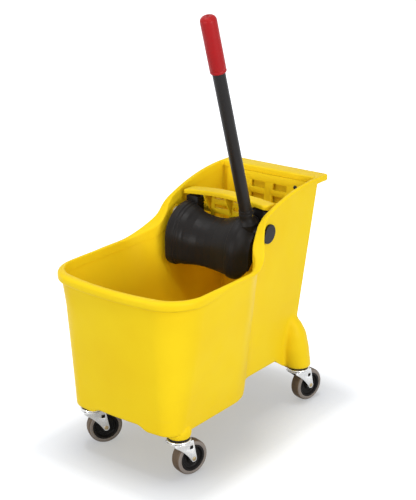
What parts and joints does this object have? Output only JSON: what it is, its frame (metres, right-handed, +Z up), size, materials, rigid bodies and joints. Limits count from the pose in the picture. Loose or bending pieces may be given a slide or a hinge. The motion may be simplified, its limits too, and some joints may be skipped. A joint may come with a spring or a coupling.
{
  "type": "mop bucket with wringer",
  "caption": "Wheeled mop bucket with a wide front basin, a narrow rear tower and a lever wringer whose slatted plate presses a mop against a perforated panel.",
  "frame": {"origin": "on the floor, under the middle of the bucket's length and width", "axes": "+Z up, +X to the right seen from the front, the basin faces -Y and the wringer tower is at +Y"},
  "size_m": [0.36, 0.606, 0.9217],
  "materials": {
    "yellow_plastic": "satin moulded",
    "black_plastic": "satin moulded",
    "black_steel": "black powder coat",
    "red_grip": "smooth vinyl",
    "zinc_steel": "bright zinc plate",
    "grey_tyre": "non-marking tread",
    "pale_nylon": "natural nylon"
  },
  "bodies": {
    "bucket": {"bucket_shell": "yellow_plastic", "wringer_panel": "yellow_plastic", "panel_screws": "zinc_steel", "pivot_bush_left": "pale_nylon", "pivot_bush_right": "pale_nylon", "pivot_cap_left": "black_plastic", "pivot_cap_right": "black_plastic", "caster_sleeve_front_right": "pale_nylon", "caster_stem_front_right": "zinc_steel", "caster_race_front_right": "zinc_steel", "caster_sleeve_front_left": "pale_nylon", "caster_stem_front_left": "zinc_steel", "caster_race_front_left": "zinc_steel", "caster_sleeve_rear_right": "pale_nylon", "caster_stem_rear_right": "zinc_steel", "caster_race_rear_right": "zinc_steel", "caster_sleeve_rear_left": "pale_nylon", "caster_stem_rear_left": "zinc_steel", "caster_race_rear_left": "zinc_steel"},
    "lever": {"press_drum": "black_plastic", "press_plate": "yellow_plastic", "plate_screws": "zinc_steel", "handle_tube": "black_steel", "handle_pin": "zinc_steel", "handle_collar": "black_plastic", "handle_grip": "red_grip", "pivot_pin_left": "zinc_steel", "pivot_pin_right": "zinc_steel"},
    "fork_front_right": {"caster_fork_front_right": "zinc_steel", "caster_axle_front_right": "zinc_steel"},
    "wheel_front_right": {"caster_bush_front_right": "pale_nylon", "caster_core_front_right": "black_plastic", "caster_tyre_front_right": "grey_tyre"},
    "fork_front_left": {"caster_fork_front_left": "zinc_steel", "caster_axle_front_left": "zinc_steel"},
    "wheel_front_left": {"caster_bush_front_left": "pale_nylon", "caster_core_front_left": "black_plastic", "caster_tyre_front_left": "grey_tyre"},
    "fork_rear_right": {"caster_fork_rear_right": "zinc_steel", "caster_axle_rear_right": "zinc_steel"},
    "wheel_rear_right": {"caster_bush_rear_right": "pale_nylon", "caster_core_rear_right": "black_plastic", "caster_tyre_rear_right": "grey_tyre"},
    "fork_rear_left": {"caster_fork_rear_left": "zinc_steel", "caster_axle_rear_left": "zinc_steel"},
    "wheel_rear_left": {"caster_bush_rear_left": "pale_nylon", "caster_core_rear_left": "black_plastic", "caster_tyre_rear_left": "grey_tyre"}
  },
  "joints": [
    {"name": "lever_swing", "type": "hinge", "parent": "bucket", "child": "lever", "pos_m": [0, 0.0755, 0.449], "axis": [1, 0, 0], "range_deg": [0, 45]},
    {"name": "swivel_front_right", "type": "hinge", "parent": "bucket", "child": "fork_front_right", "pos_m": [0.11985, -0.21965, 0.08], "axis": [0, 0, 1], "continuous": true},
    {"name": "roll_front_right", "type": "hinge", "parent": "fork_front_right", "child": "wheel_front_right", "pos_m": [0.12671, -0.19405, 0.038], "axis": [0.9659, -0.2588, 0], "continuous": true},
    {"name": "swivel_front_left", "type": "hinge", "parent": "bucket", "child": "fork_front_left", "pos_m": [-0.11985, -0.21965, 0.08], "axis": [0, 0, 1], "continuous": true},
    {"name": "roll_front_left", "type": "hinge", "parent": "fork_front_left", "child": "wheel_front_left", "pos_m": [-0.10581, -0.19718, 0.038], "axis": [0.848, -0.5299, 0], "continuous": true},
    {"name": "swivel_rear_right", "type": "hinge", "parent": "bucket", "child": "fork_rear_right", "pos_m": [0.11985, 0.21965, 0.08], "axis": [0, 0, 1], "continuous": true},
    {"name": "roll_rear_right", "type": "hinge", "parent": "fork_rear_right", "child": "wheel_rear_right", "pos_m": [0.12581, 0.24547, 0.038], "axis": [0.9744, -0.225, 0], "continuous": true},
    {"name": "swivel_rear_left", "type": "hinge", "parent": "bucket", "child": "fork_rear_left", "pos_m": [-0.11985, 0.21965, 0.08], "axis": [0, 0, 1], "continuous": true},
    {"name": "roll_rear_left", "type": "hinge", "parent": "fork_rear_left", "child": "wheel_rear_left", "pos_m": [-0.11479, 0.24566, 0.038], "axis": [0.9816, -0.1908, 0], "continuous": true}
  ]
}
